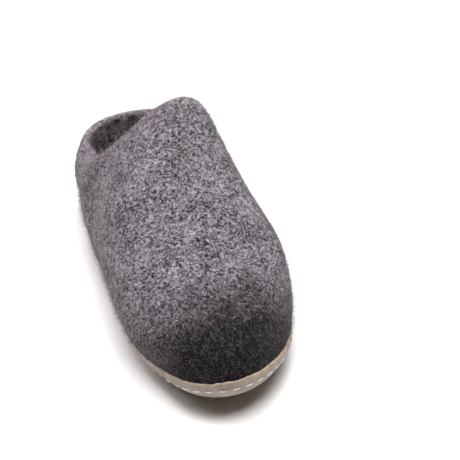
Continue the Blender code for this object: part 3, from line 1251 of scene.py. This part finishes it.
@dataclass(frozen=True)
class Fibres:
    """One coat of fibres, laid by Geometry Nodes.

    Attributes:
        coat: Which kind it is.
        density: Fibres in a square metre.
        length: Shortest and longest fibre.
        tilt: Largest tilt out of the surface in degrees.
        lift: Height of their middles over the surface.
        width: Width as a share of the length.
        seed: Chooses the places.
        taper: Width at five places along a strand, as shares of the full width.
        bends: Side bow, sway and upward bow of each strand that is chosen from.
    """

    coat: Coat
    density: float
    length: Pair
    tilt: float
    lift: float
    width: float
    seed: int
    taper: tuple[float, ...] = (0.45, 1.0, 1.0, 0.9, 0.35)
    bends: tuple[Triple, ...] = (
        (0.05, 0.02, 0.02), (-0.08, 0.03, 0.03), (0.01, 0.06, 0.02), (0.14, -0.04, 0.04),
    )

    def strand(self, name: str, curl: float, sway: float, arch: float) -> bpy.types.Object:
        """Make one strand of unit length, as a bent ribbon.

        Args:
            name: The object's name.
            curl: How far its middle lies to one side.
            sway: How far it bends to and fro.
            arch: How far its middle stands up.

        Returns:
            The strand.
        """
        count = len(self.taper)
        along = np.linspace(-0.5, 0.5, count)
        side = curl * (1 - 4 * along**2) + sway * np.sin(2 * math.pi * along)
        up = arch * (1 - 4 * along**2)
        half = self.width / 2 * np.array(self.taper)
        rows = np.stack([np.stack([along, side + half, up], -1), np.stack([along, side - half, up], -1)])
        mesh = bpy.data.meshes.new(name)
        quads = [(k + 1, k, k + count, k + count + 1) for k in range(count - 1)]
        mesh.from_pydata(rows.reshape(-1, 3).tolist(), [], quads)
        mesh.shade_smooth()
        return bpy.data.objects.new(name, mesh)

    @staticmethod
    def lean(graph: Graph, tilt: Socket, seed: Socket, rotation: Socket) -> Socket:
        """Turn each strand at random, and tilt it a little out of the surface.

        Args:
            graph: The tree's Graph.
            tilt: The largest tilt.
            seed: Chooses the turns.
            rotation: The rotation that lays a strand on the surface.

        Returns:
            The strands' rotations.
        """
        ends = []
        for sign, turn in ((-1.0, 0.0), (1.0, 2 * math.pi)):
            sideways = graph.math("MULTIPLY", tilt, 0.4 * sign)
            inputs = {"X": sideways, "Y": graph.math("MULTIPLY", tilt, sign), "Z": turn}
            ends.append(graph.add("ShaderNodeCombineXYZ", inputs).outputs[0])
        inputs = {0: ends[0], 1: ends[1], "Seed": seed}
        spin = graph.add("FunctionNodeRandomValue", inputs, data_type="FLOAT_VECTOR")
        turned = graph.add("FunctionNodeEulerToRotation", {"Euler": spin.outputs[0]})
        inputs = {"Rotation": rotation, "Rotate By": turned.outputs[0]}
        return graph.add("FunctionNodeRotateRotation", inputs, rotation_space="LOCAL").outputs[0]

    def tree(self, strands: bpy.types.Collection) -> bpy.types.NodeTree:
        """Build the tree that scatters the strands.

        Args:
            strands: The strands to choose from.

        Returns:
            The Geometry Nodes tree.
        """
        inputs = [
            ("Geometry", "Geometry"), ("Density", "Float"), ("Shortest", "Float"), ("Longest", "Float"),
            ("Tilt", "Float"), ("Lift", "Float"), ("Seed", "Int"), ("Finish", "Material"),
        ]
        name = "fibres_" + self.coat.value
        graph, start, end = start_group(name, "GeometryNodeTree", inputs, [("Geometry", "Geometry")])
        put = start.outputs
        mark = "rim" if self.coat is Coat.RIM else "growth"
        growth = graph.add("GeometryNodeInputNamedAttribute", {"Name": mark}, data_type="FLOAT")
        density = graph.math("MULTIPLY", put["Density"], Graph.socket(growth.outputs, "Attribute"))
        points = graph.add(
            "GeometryNodeDistributePointsOnFaces",
            {"Mesh": put["Geometry"], "Density": density, "Seed": put["Seed"]},
            distribute_method="RANDOM",
        )
        seed = graph.math("ADD", put["Seed"], 1.0)
        facing = self.lean(graph, put["Tilt"], seed, points.outputs["Rotation"])
        size = graph.chance(put["Shortest"], put["Longest"], graph.math("ADD", put["Seed"], 2.0))
        inputs = {0: points.outputs["Normal"], "Scale": put["Lift"]}
        rise = graph.add("ShaderNodeVectorMath", inputs, operation="SCALE").outputs[0]
        lifted = graph.add("GeometryNodeSetPosition", {"Geometry": points.outputs["Points"], "Offset": rise})
        source = graph.add("GeometryNodeCollectionInfo", {"Collection": strands, "Separate Children": True})
        inputs = {
            "Points": lifted.outputs[0],
            "Instance": source.outputs[0],
            "Pick Instance": True,
            "Rotation": facing,
            "Scale": size,
        }
        placed = graph.add("GeometryNodeInstanceOnPoints", inputs)
        tone = graph.chance(0.0, 1.0, graph.math("ADD", put["Seed"], 3.0))
        inputs = {"Geometry": placed.outputs[0], "Name": "tone", "Value": tone}
        toned = graph.add("GeometryNodeStoreNamedAttribute", inputs, data_type="FLOAT", domain="INSTANCE")
        real = graph.add("GeometryNodeRealizeInstances", {"Geometry": toned.outputs[0]})
        inputs = {"Geometry": real.outputs[0], "Material": put["Finish"]}
        dressed = graph.add("GeometryNodeSetMaterial", inputs)
        graph.feed(end.inputs[0], dressed.outputs[0])
        return graph.tree

    def build(self, skin: bpy.types.Object, finish: bpy.types.Material) -> bpy.types.Object:
        """Lay the coat.

        Args:
            skin: The surface that it grows on.
            finish: The fibres' material.

        Returns:
            The coat as a plain mesh.
        """
        strands = bpy.data.collections.new("strands_" + self.coat.value)
        for number, bend in enumerate(self.bends):
            strands.objects.link(self.strand(f"strand_{self.coat.value}_{number}", *bend))
        values = {
            "Density": self.density,
            "Shortest": self.length[0],
            "Longest": self.length[1],
            "Tilt": math.radians(self.tilt),
            "Lift": self.lift,
            "Seed": self.seed,
            "Finish": finish,
        }
        piece = grow(skin, self.tree(strands), values, f"felt_fibres_{self.coat.value}_{self.seed}")
        for strand in list(strands.objects):
            bpy.data.objects.remove(strand)
        bpy.data.collections.remove(strands)
        return piece


def grow(base: bpy.types.Object, tree: bpy.types.NodeTree, values: dict, name: str) -> bpy.types.Object:
    """Run a Geometry Nodes tree on an object and keep the result as a plain mesh.

    Args:
        base: The object that the tree starts from; it is left as it was.
        tree: The tree.
        values: Values of its inputs by name.
        name: Name of the new object.

    Returns:
        The new object.
    """
    modifier = base.modifiers.new(name, "NODES")
    modifier.node_group = tree
    for item in tree.interface.items_tree:
        if item.in_out == "INPUT" and item.name in values:
            modifier[item.identifier] = values[item.name]
    base.update_tag()
    depsgraph = bpy.context.evaluated_depsgraph_get()
    depsgraph.update()
    mesh = bpy.data.meshes.new_from_object(base.evaluated_get(depsgraph))
    mesh.name = name
    base.modifiers.remove(modifier)
    piece = bpy.data.objects.new(name, mesh)
    bpy.context.scene.collection.objects.link(piece)
    return piece


@dataclass(frozen=True)
class Stitch:
    """One running stitch of two twisted plies.

    Attributes:
        length: Its length.
        arch: How high its middle stands over the leather.
        sunk: How deep its line lies in the leather.
        thick: Radius of a ply.
        twist: Turns of the plies along it.
        steps: Steps along it.
        sides: Sides of a ply.
        uneven: Largest turns about X, Y and Z that it is laid askew by.
        sizes: Smallest and largest size.
        seed: Chooses the turns and the sizes.
    """

    length: float = 5.2 * MM
    arch: float = 0.5 * MM
    sunk: float = 0.15 * MM
    thick: float = 0.34 * MM
    twist: float = 1.75
    steps: int = 12
    sides: int = 6
    uneven: Triple = (0.03, 0.03, 0.09)
    sizes: Pair = (0.9, 1.06)
    seed: int = 3

    def make(self) -> bpy.types.Object:
        """Make the stitch along X, with its ends turned down.

        Returns:
            The stitch.
        """
        maker = MeshMaker()
        along = np.linspace(-0.5, 0.5, self.steps + 1)
        taper = np.sqrt(np.clip(1 - (2 * along) ** 6, 0.1, 1))
        reach = self.thick * 0.8 * taper
        angle = np.linspace(0, 2 * math.pi, self.sides + 1)[:-1]
        ring = np.stack([0 * angle, np.cos(angle), np.sin(angle)], axis=1) * self.thick
        for ply in range(2):
            turn = 2 * math.pi * self.twist * along + math.pi * ply
            height = self.arch * (1 - np.abs(2 * along) ** 3) - self.sunk + reach * np.sin(turn)
            centre = np.stack([along * self.length, reach * np.cos(turn), height], axis=1)
            numbers = maker.put(centre[:, None] + ring[None] * taper[:, None, None])
            maker.skin(numbers)
            for end in (numbers[0], numbers[-1][::-1]):
                maker.faces.append(tuple(int(n) for n in end))
        return maker.make("stitch")

    def tree(self, stitch: bpy.types.Object) -> bpy.types.NodeTree:
        """Build the tree that lays stitches evenly along a closed line.

        Args:
            stitch: The stitch that is laid.

        Returns:
            The Geometry Nodes tree.
        """
        inputs = [("Geometry", "Geometry"), ("Count", "Int"), ("Seed", "Int"), ("Finish", "Material")]
        outputs = [("Geometry", "Geometry")]
        graph, start, end = start_group("running_stitches", "GeometryNodeTree", inputs, outputs)
        put = start.outputs
        curve = graph.add("GeometryNodeMeshToCurve", {"Mesh": put["Geometry"]})
        inputs = {"Curve": curve.outputs[0], "Count": put["Count"]}
        even = graph.add("GeometryNodeResampleCurve", inputs)
        tangent = graph.add("GeometryNodeInputTangent")
        mark = graph.add("GeometryNodeInputNamedAttribute", {"Name": "outward"}, data_type="FLOAT_VECTOR")
        along = graph.add("FunctionNodeAlignRotationToVector", {"Vector": tangent.outputs[0]}, axis="X")
        inputs = {"Rotation": along.outputs[0], "Vector": Graph.socket(mark.outputs, "Attribute")}
        facing = graph.add("FunctionNodeAlignRotationToVector", inputs, axis="Z", pivot_axis="X")
        inputs = {0: tuple(-angle for angle in self.uneven), 1: self.uneven, "Seed": put["Seed"]}
        askew = graph.add("FunctionNodeRandomValue", inputs, data_type="FLOAT_VECTOR")
        askew = graph.add("FunctionNodeEulerToRotation", {"Euler": askew.outputs[0]})
        inputs = {"Rotation": facing.outputs[0], "Rotate By": askew.outputs[0]}
        turned = graph.add("FunctionNodeRotateRotation", inputs, rotation_space="LOCAL")
        source = graph.add("GeometryNodeObjectInfo", {"Object": stitch})
        inputs = {
            "Points": even.outputs[0],
            "Instance": source.outputs["Geometry"],
            "Rotation": turned.outputs[0],
            "Scale": graph.chance(*self.sizes, put["Seed"]),
        }
        placed = graph.add("GeometryNodeInstanceOnPoints", inputs)
        real = graph.add("GeometryNodeRealizeInstances", {"Geometry": placed.outputs[0]})
        inputs = {"Geometry": real.outputs[0], "Material": put["Finish"]}
        dressed = graph.add("GeometryNodeSetMaterial", inputs)
        graph.feed(end.inputs[0], dressed.outputs[0])
        return graph.tree


@dataclass
class LeatherSole:
    """The leather sole with its turned-up rim and its row of stitches.

    Attributes:
        last: The form under it.
        middle: Where the last's own centre stands in the frame.
        gap: Clearance to the felt.
        leather: Thickness of the leather.
        pitch: Distance between stitches.
        sewn_at: Where the row runs, as a portion of the way down the rim.
        around: Points in each ring.
        below: Steps from the rim's edge to the floor.
        across: Faces across the floor.
        pucker: How far the stitches pull the leather in, and bulge it between them.
        pull: Height of the pulled-in strip, as a portion of the rim.
        skived_from: Portion of the rim's height from which the leather is pared thinner.
        thinned: Portion of the thickness that is pared away at the edge.
        ragged: How uneven the raw edge is.
        raised: How much higher than the solid's the edge stands.
        edge_rows: Rows over which both fade.
        edge_round: How high the edge's middle stands.
        raw_from: Portion of the rim's height from which the raw edge shows.
        soil_to: Portion of the rim's height up to which it is soiled.
    """

    last: Last
    middle: Triple
    gap: float
    leather: float
    pitch: float = 7.8 * MM
    sewn_at: float = 0.27
    around: int = 960
    below: int = 26
    across: int = 16
    pucker: float = 0.22 * MM
    pull: float = 0.16
    skived_from: float = 0.72
    thinned: float = 0.55
    ragged: float = 0.40 * MM
    raised: float = 0.35 * MM
    edge_rows: int = 5
    edge_round: float = 0.25 * MM
    raw_from: float = 0.93
    soil_to: float = 0.3

    def grid(self) -> tuple[np.ndarray, np.ndarray, np.ndarray]:
        """Lay the felt's surface from the rim down, and measure along the seam.

        Returns:
            The points, their outward normals, and the run along the rim in stitches.
        """
        rings = self.last.rings(1, self.below, self.around)[1:]
        above = 30
        extra = self.last.rings(above, self.below, self.around)[above - 1 :]
        normal = grid_normals(extra)[1:]
        row = rings[self.sewn_row()]
        run = np.concatenate([[0], np.cumsum(np.linalg.norm(np.diff(row, axis=0), axis=1))])
        whole = run[-1] + np.linalg.norm(row[0] - row[-1])
        stitches = round(whole / self.pitch)
        return rings, normal, run / whole * stitches

    def sewn_row(self) -> int:
        """Number of the row that the stitches follow."""
        return int(round(self.below * math.asin(self.sewn_at) / (math.pi / 2)))

    def puckers(self, lift: np.ndarray, run: np.ndarray) -> np.ndarray:
        """How far the leather bulges between the stitches, and draws in under them.

        Args:
            lift: Each row's height, 1 at the edge and 0 on the floor.
            run: Each column's place in stitches.

        Returns:
            The bulge of each point.
        """
        wave = np.cos(2 * math.pi * run)[None]
        near = np.exp(-(((lift - (1 - self.sewn_at)) / self.pull) ** 2))[:, None]
        hole = wave**2 * np.where(wave > 0, 1, 0)
        top = np.clip((lift - 0.55) / 0.45, 0, 1)[:, None]
        return self.pucker * (-0.9 * top * wave - 1.1 * near * hole)

    def build(self, finish: bpy.types.Material) -> bpy.types.Object:
        """Make the sole.

        Args:
            finish: The leather's material.

        Returns:
            The sole.
        """
        rings, normal, run = self.grid()
        lift = 1 - np.sin(math.pi / 2 * np.arange(self.below + 1) / self.below)
        outer = rings + normal * (self.gap + self.leather + self.puckers(lift, run))[..., None]
        inner = rings + normal * self.gap
        skived = np.clip((lift - self.skived_from) / (1 - self.skived_from), 0, 1)[:, None, None] ** 1.5
        outer -= normal * self.leather * self.thinned * skived
        frayed = lumps(outer[0], 4 * MM, seed=21, waves=36)
        frayed += 0.5 * lumps(outer[0], 1.6 * MM, seed=5, waves=36)
        for grid, part in ((outer, 1.0), (inner, 0.7)):
            for row in range(self.edge_rows):
                rise = frayed * self.ragged * part + self.raised
                grid[row, :, 2] += rise * (1 - row / self.edge_rows)
        outer += np.array(self.middle)
        inner += np.array(self.middle)
        flat = np.ones_like(outer[..., 0])
        edge = np.clip((lift - self.raw_from) / (1 - self.raw_from), 0, 1)[:, None] * flat
        soil = np.clip(1 - lift / self.soil_to, 0, 1)[:, None] * flat
        maker = MeshMaker()
        outside = maker.put(outer, edge=edge, soil=soil)
        rim = maker.put((outer[0] + inner[0]) / 2 + [0, 0, self.edge_round], edge=1.0, soil=0.0)
        inside = maker.put(inner, edge=1.0, soil=0.0)
        maker.skin(np.concatenate([outside[::-1], rim[None], inside]))
        maker.floor(outside[-1], outer[-1], self.across, turned=False, edge=0.0, soil=1.0)
        maker.floor(inside[-1], inner[-1], self.across, turned=True, edge=1.0, soil=0.0)
        sole = maker.make("suede_sole")
        sole.data.materials.append(finish)
        return sole

    def sew(self, finish: bpy.types.Material) -> bpy.types.Object:
        """Lay the row of stitches round the rim.

        Args:
            finish: The thread's material.

        Returns:
            The row as one mesh.
        """
        rings, normal, run = self.grid()
        row = self.sewn_row()
        surface = rings[row] + normal[row] * (self.gap + self.leather) + np.array(self.middle)
        mesh = bpy.data.meshes.new("sewing_line")
        edges = [(k, (k + 1) % self.around) for k in range(self.around)]
        mesh.from_pydata(surface.tolist(), edges, [])
        outward = mesh.attributes.new("outward", "FLOAT_VECTOR", "POINT")
        outward.data.foreach_set("vector", normal[row].astype(np.float32).ravel())
        line = bpy.data.objects.new("sewing_line", mesh)
        bpy.context.scene.collection.objects.link(line)
        style = Stitch()
        stitch = style.make()
        count = int(round(run[-1] + run[1] - run[0]))
        values = {"Count": count, "Seed": style.seed, "Finish": finish}
        sewing = grow(line, style.tree(stitch), values, "sewing")
        bpy.data.objects.remove(stitch)
        bpy.data.objects.remove(line)
        return sewing


@dataclass
class Insole:
    """The loose felt insole, laid on the body's floor.

    Attributes:
        last: The form round it.
        middle: Where the last's own centre stands in the frame.
        wall: Thickness of the felt under it.
        gap: Clearance under it.
        thickness: Its own thickness.
        lifted: How far it is held over that clearance, so that it stays clear on the toe's slope.
        ease: Clearance round it.
        corner: How far its edge is rounded.
        around: Points in each ring.
        across: Faces across it.
    """

    last: Last
    middle: Triple
    wall: float
    gap: float
    thickness: float = 3.395 * MM
    lifted: float = 0.1 * MM
    ease: float = 0.9 * MM
    corner: float = 0.9 * MM
    around: int = 320
    across: int = 24

    def build(self, finish: bpy.types.Material) -> bpy.types.Object:
        """Make the insole.

        Args:
            finish: The felt's material.

        Returns:
            The insole.
        """
        edge = self.last.rings(1, 1, self.around)[-1]
        share = 0.5 - edge[:, 1] / self.last.length
        small = 0.001
        rise = self.last.floor_height(share + small) - self.last.floor_height(share)
        slope = rise / (small * self.last.length)
        along = np.roll(edge, -1, axis=0) - np.roll(edge, 1, axis=0)
        outward = np.stack([-along[:, 1], along[:, 0], 0 * slope], axis=1)
        outward /= np.maximum(np.linalg.norm(outward, axis=1, keepdims=True), 1e-12)
        if np.sum(outward * (edge - edge.mean(axis=0))) < 0:
            outward = -outward
        low = edge - outward * self.ease + np.array(self.middle)
        low[:, 2] += (self.wall + self.gap) * np.sqrt(1 + slope**2) + self.lifted
        rows = []
        for angle in np.linspace(-math.pi / 2, math.pi / 2, 7):
            row = low - outward * (1 - math.cos(angle)) * self.corner
            row[:, 2] += self.thickness * (0.5 + 0.5 * math.sin(angle))
            rows.append(row)
        grid = np.array(rows)
        maker = MeshMaker()
        numbers = maker.put(grid)
        maker.skin(numbers)
        maker.floor(numbers[0], grid[0], self.across, turned=False)
        maker.floor(numbers[-1], grid[-1], self.across, turned=True)
        insole = maker.make("felt_insole")
        insole.data.materials.append(finish)
        return insole


@dataclass(frozen=True)
class Softbox:
    """One square soft light.

    Attributes:
        name: Its name.
        place: Where it hangs.
        size: Its side.
        power: Its power in watts.
        colour: Its colour.
    """

    name: str
    place: Triple
    size: float
    power: float
    colour: Colour

    def hang(self, aim: Triple) -> None:
        """Add it to the scene, facing a point.

        Args:
            aim: The point.
        """
        data = bpy.data.lights.new(self.name, "AREA")
        data.shape = "SQUARE"
        data.size = self.size
        data.energy = self.power
        data.color = self.colour
        lamp = bpy.data.objects.new(self.name, data)
        turn = (Vector(aim) - Vector(self.place)).to_track_quat("-Z", "Y").to_matrix().to_4x4()
        lamp.matrix_world = Matrix.Translation(self.place) @ turn
        bpy.context.scene.collection.objects.link(lamp)


@dataclass
class Studio:
    """The pale floor, the soft lights and the camera.

    Attributes:
        target: What the camera looks at.
        azimuth: The camera's bearing in degrees.
        elevation: Its height in degrees.
        roll: Its roll in degrees.
        distance: How far it stands off.
        pixels: Its focal length in pixels.
        frame_width: Width of the frame that this is measured in.
        floor_half: Half the side of the floor.
        floor_colours: The floor's two tones.
        aim: What the lights face.
        glow: Colour of the room's own light.
        glow_strength: Its strength.
    """

    target: Triple
    azimuth: float = -14.64
    elevation: float = 35.14
    roll: float = -5.62
    distance: float = 0.8784
    pixels: float = 1331.3
    frame_width: float = 460.0
    floor_half: float = 3.0
    floor_colours: tuple[Colour, Colour] = ((0.86, 0.855, 0.85), (0.83, 0.825, 0.82))
    aim: Triple = (0, 0, 0.05)
    glow: Colour = (1.0, 0.72, 0.60)
    glow_strength: float = 0.022

    def build_floor(self) -> bpy.types.Object:
        """Make the floor.

        Returns:
            The floor.
        """
        half = self.floor_half
        mesh = bpy.data.meshes.new("floor")
        corners = [(-half, -half, 0), (half, -half, 0), (half, half, 0), (-half, half, 0)]
        mesh.from_pydata(corners, [], [(0, 1, 2, 3)])
        graph = start_material("pale_floor")
        place = graph.add("ShaderNodeTexCoord").outputs["Object"]
        colour = graph.mix(graph.noise(place, 40.0, 3.0), *self.floor_colours)
        graph.surface(colour, {"Roughness": 0.6})
        mesh.materials.append(bpy.data.materials["pale_floor"])
        floor = bpy.data.objects.new("floor", mesh)
        bpy.context.scene.collection.objects.link(floor)
        return floor

    def build_lights(self) -> None:
        """Hang the softboxes and set the room's glow."""
        for box in SOFTBOXES:
            box.hang(self.aim)
        world = bpy.data.worlds.new("room")
        world.use_nodes = True
        background = world.node_tree.nodes["Background"]
        background.inputs["Color"].default_value = (*self.glow, 1.0)
        background.inputs["Strength"].default_value = self.glow_strength
        bpy.context.scene.world = world
        bpy.context.scene.view_settings.view_transform = "Standard"

    def build_camera(self) -> None:
        """Set the camera at the photograph's angle."""
        bearing, height = math.radians(self.azimuth), math.radians(self.elevation)
        level = math.cos(height)
        back = Vector((math.sin(bearing) * level, -math.cos(bearing) * level, math.sin(height)))
        right = (-back).cross(Vector((0, 0, 1))).normalized()
        up = right.cross(-back)
        turn = math.radians(self.roll)
        rolled_right = right * math.cos(turn) + up * math.sin(turn)
        rolled_up = up * math.cos(turn) - right * math.sin(turn)
        data = bpy.data.cameras.new("camera")
        data.sensor_width = 36.0
        data.lens = data.sensor_width * self.pixels / self.frame_width
        data.clip_end = 20.0
        camera = bpy.data.objects.new("camera", data)
        place = Vector(self.target) + back * self.distance
        axes = Matrix((rolled_right, rolled_up, back)).transposed().to_4x4()
        camera.matrix_world = Matrix.Translation(place) @ axes
        bpy.context.scene.collection.objects.link(camera)
        bpy.context.scene.camera = camera


CREASES = (
    Crease(share=0.575, across=0.05, long=30 * MM, wide=8 * MM, turn=-4, height=-1.4 * MM),
    Crease(share=0.565, across=0.38, long=10 * MM, wide=7 * MM, turn=10, height=-1.0 * MM),
    Crease(share=0.70, across=0.10, long=28 * MM, wide=13 * MM, turn=8, height=1.5 * MM),
    Crease(share=0.50, across=-0.62, long=14 * MM, wide=9 * MM, turn=40, height=-0.9 * MM),
)

COATS = (
    Fibres(Coat.MATTED, 4.2e5, (1.5 * MM, 3.6 * MM), 6.0, 0.12 * MM, 0.072, seed=11),
    Fibres(Coat.MATTED, 4.2e5, (1.5 * MM, 3.6 * MM), 10.0, 0.18 * MM, 0.060, seed=23),
    Fibres(Coat.LOOSE, 2.6e5, (2.2 * MM, 5.0 * MM), 42.0, 0.45 * MM, 0.030, seed=37),
    Fibres(Coat.LOOSE, 1.7e5, (3.0 * MM, 6.5 * MM), 72.0, 1.2 * MM, 0.024, seed=71),
    Fibres(Coat.RIM, 1.1e6, (1.6 * MM, 4.2 * MM), 60.0, 0.6 * MM, 0.034, seed=51),
)

SOFTBOXES = (
    Softbox("key", (0.20, 0.04, 1.36), 1.15, 38.5, (1.0, 0.99, 0.995)),
    Softbox("back", (-0.62, 0.60, 1.00), 0.8, 8.0, (1.0, 0.98, 0.99)),
    Softbox("right", (1.20, -0.35, 0.45), 0.8, 0.3, (1.0, 0.84, 0.74)),
)

# The solids' own sizes that the frame doesn't give
BALL_WIDTH = 0.109
FELT_WALL = 5.0 * MM
LEATHER = 2.2 * MM
GAP = 0.3 * MM

# What the camera looks at, from the last's own centre on the ground
VIEW_CENTRE: Triple = (36.1 * MM, 1.7 * MM, 30 * MM)


def place_last() -> tuple[Last, Triple]:
    """Take the last's length, width and place from the frame.

    Returns:
        The last, and where its own centre stands.
    """
    low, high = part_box("upper")
    last = Last(length=high[1] - low[1], ball_width=BALL_WIDTH)
    rings = last.rings(24, 6, 72)
    wide = (rings[..., 0].min() + rings[..., 0].max()) / 2
    return last, ((low[0] + high[0]) / 2 - wide, (low[1] + high[1]) / 2, 0.0)


def dress(piece: bpy.types.Object) -> None:
    """Let a piece ride on the body and report it.

    Args:
        piece: The finished piece.
    """
    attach(piece, BODY)
    faces = sum(len(face.vertices) - 2 for face in piece.data.polygons)
    LOG.info("%s: %d triangles", piece.name, faces)


def main() -> None:
    """Build the slipper's looks, its floor, lights and camera."""
    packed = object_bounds()
    last, middle = place_last()
    effects = Effects()
    felt = Wool("melange_felt").material(effects)
    loose = Wool("melange_fibres", sheen=0.15).material(effects, loose=True)
    body, skin = FeltBody(last, FELT_WALL, middle, CREASES).build(felt)
    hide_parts("upper")
    dress(body)
    for coat in COATS:
        dress(coat.build(skin, loose))
    bpy.data.objects.remove(skin)
    sole = LeatherSole(last, middle, GAP, LEATHER)
    leather = sole.build(Suede("cream_suede").material(effects))
    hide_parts("outsole")
    dress(leather)
    dress(sole.sew(Thread("white_thread").material(effects)))
    inside = Wool("insole_wool", pale=(0.26, 0.25, 0.26)).material(effects)
    insole = Insole(last, middle, FELT_WALL, GAP).build(inside)
    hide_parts("insole")
    dress(insole)
    studio = Studio(tuple(a + b for a, b in zip(middle, VIEW_CENTRE)))
    studio.build_floor()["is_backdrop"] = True
    studio.build_lights()
    studio.build_camera()
    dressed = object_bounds()
    sizes = {"cad": [list(corner) for corner in packed], "scene": [list(corner) for corner in dressed]}
    dumps(sizes)


if __name__ == "__main__":
    logging.basicConfig(level=logging.INFO, format="%(message)s")
    main()
